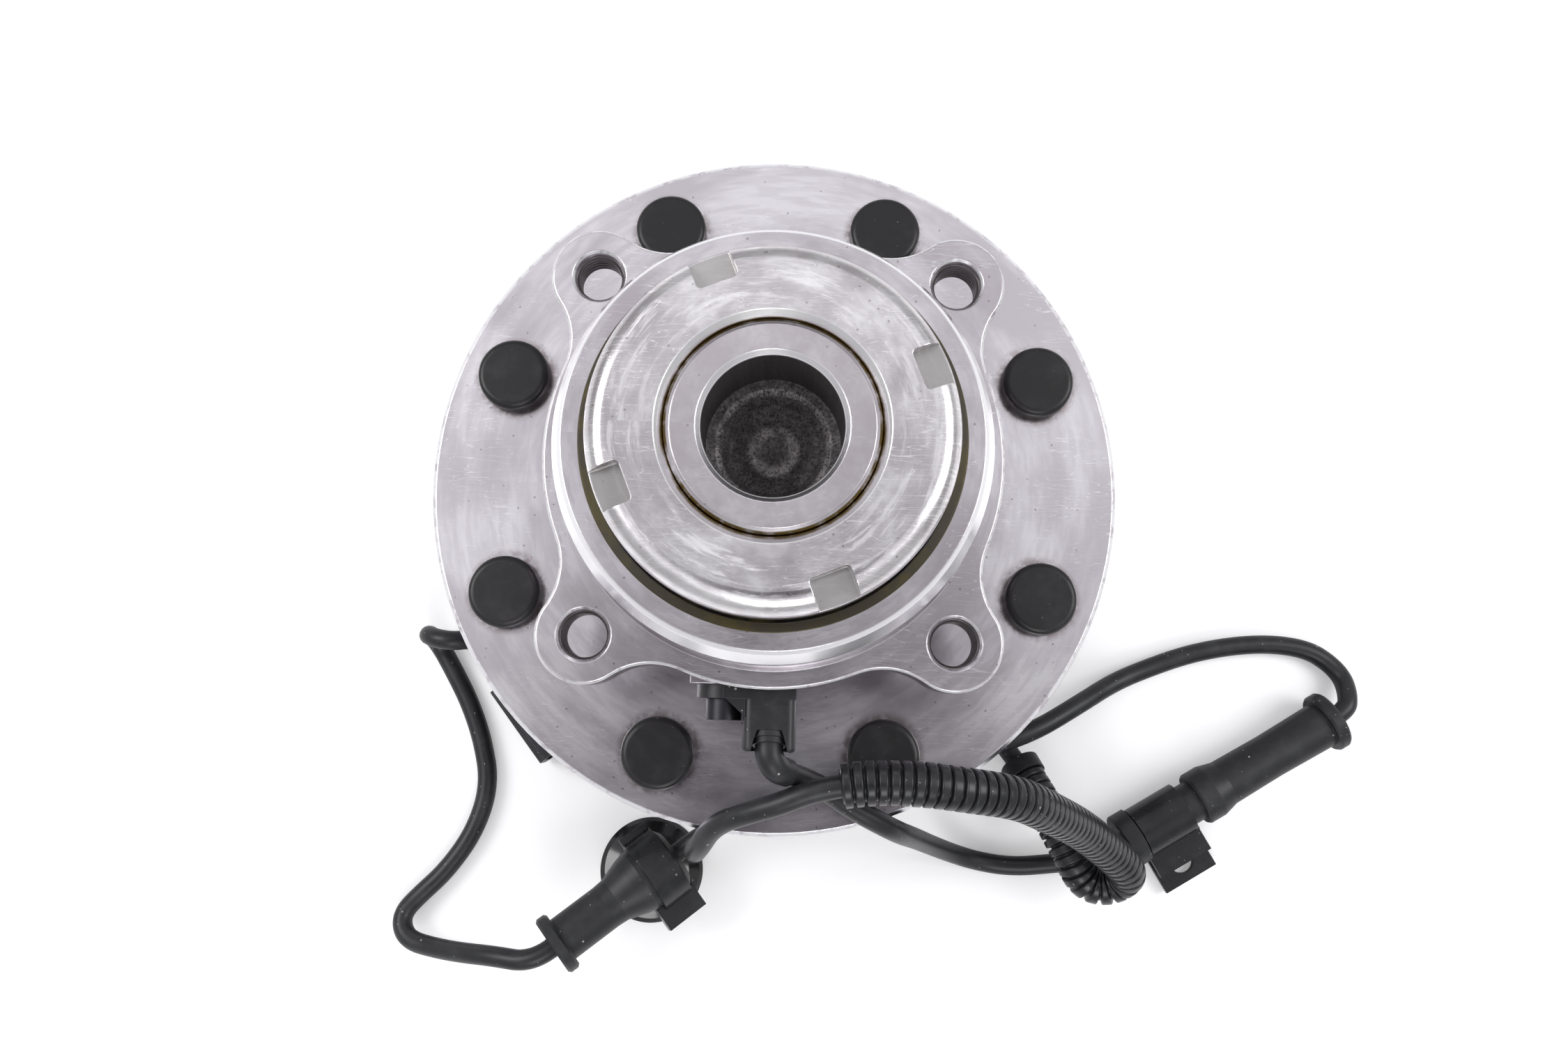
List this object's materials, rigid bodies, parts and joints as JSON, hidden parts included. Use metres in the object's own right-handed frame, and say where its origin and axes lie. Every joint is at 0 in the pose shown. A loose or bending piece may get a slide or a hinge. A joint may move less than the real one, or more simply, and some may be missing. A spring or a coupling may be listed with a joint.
{
  "type": "wheel hub bearing",
  "caption": "Wheel hub bearing unit: flanged hub with wheel studs, tapered roller rows, knuckle flange, slotted ring nut and a wheel-speed sensor with its cable harness.",
  "frame": {"origin": "on the hinge axis, in the plane of the barrel's open end, which the part stands on", "axes": "+Z along the hinge axis, inboard to the knuckle; the speed sensor is on the -Y side"},
  "size_m": [0.3113, 0.2432, 0.152],
  "materials": {
    "machined_steel": "turned, satin",
    "cast_hub": "turned and forged, satin",
    "bearing_steel": "ground",
    "cage_steel": "pressed, matt",
    "nut_steel": "turned, bright",
    "black_steel": "black phosphate, matt",
    "seal_steel": "pressed, satin",
    "seal_rubber": "satin",
    "sensor_plastic": "satin, moulded",
    "brass_bush": "turned",
    "screw_steel": "black zinc",
    "cable_jacket": "satin",
    "loom_plastic": "corrugated, satin",
    "grommet_rubber": "matt, moulded",
    "clip_plastic": "gloss",
    "connector_plastic": "satin",
    "lock_plastic": "satin",
    "terminal_metal": "tinned"
  },
  "bodies": {
    "knuckle_side": {"outer_ring": "machined_steel", "outboard_seal_case": "seal_steel", "outboard_seal_lip": "seal_rubber", "inboard_seal_case": "seal_steel", "inboard_seal_lip": "seal_rubber", "sensor_body": "sensor_plastic", "sensor_bushing": "brass_bush", "sensor_screw": "screw_steel", "sensor_o_ring": "seal_rubber", "cable_boot": "grommet_rubber", "sensor_cable": "cable_jacket", "right_grommet": "grommet_rubber", "right_clip": "clip_plastic", "middle_cable": "cable_jacket", "rim_grommet": "grommet_rubber", "conduit": "loom_plastic", "left_grommet": "grommet_rubber", "left_clip": "clip_plastic", "clip_button": "clip_plastic", "lead_cable": "cable_jacket", "connector_housing": "connector_plastic", "connector_seal": "seal_rubber", "connector_lock": "lock_plastic", "connector_terminals": "terminal_metal"},
    "hub": {"hub_spindle": "cast_hub", "wheel_studs": "black_steel", "outboard_inner_ring": "bearing_steel", "inboard_inner_ring": "bearing_steel", "tone_ring": "machined_steel", "ring_nut": "nut_steel"},
    "outboard_rollers_and_cage": {"outboard_cage": "cage_steel", "outboard_rollers": "bearing_steel"},
    "inboard_rollers_and_cage": {"inboard_cage": "cage_steel", "inboard_rollers": "bearing_steel"}
  },
  "joints": [
    {"name": "hub_spin", "type": "hinge", "parent": "knuckle_side", "child": "hub", "pos_m": [0, 0, 0.065], "axis": [0, 0, 1], "continuous": true},
    {"name": "outboard_row_spin", "type": "hinge", "parent": "knuckle_side", "child": "outboard_rollers_and_cage", "pos_m": [0, 0, 0.0822], "axis": [0, 0, 1], "continuous": true},
    {"name": "inboard_row_spin", "type": "hinge", "parent": "knuckle_side", "child": "inboard_rollers_and_cage", "pos_m": [0, 0, 0.1165], "axis": [0, 0, 1], "continuous": true}
  ],
  "couplings": [
    {"joint": "outboard_row_spin", "follows": "hub_spin", "ratio": 0.4336},
    {"joint": "inboard_row_spin", "follows": "hub_spin", "ratio": 0.4336}
  ]
}
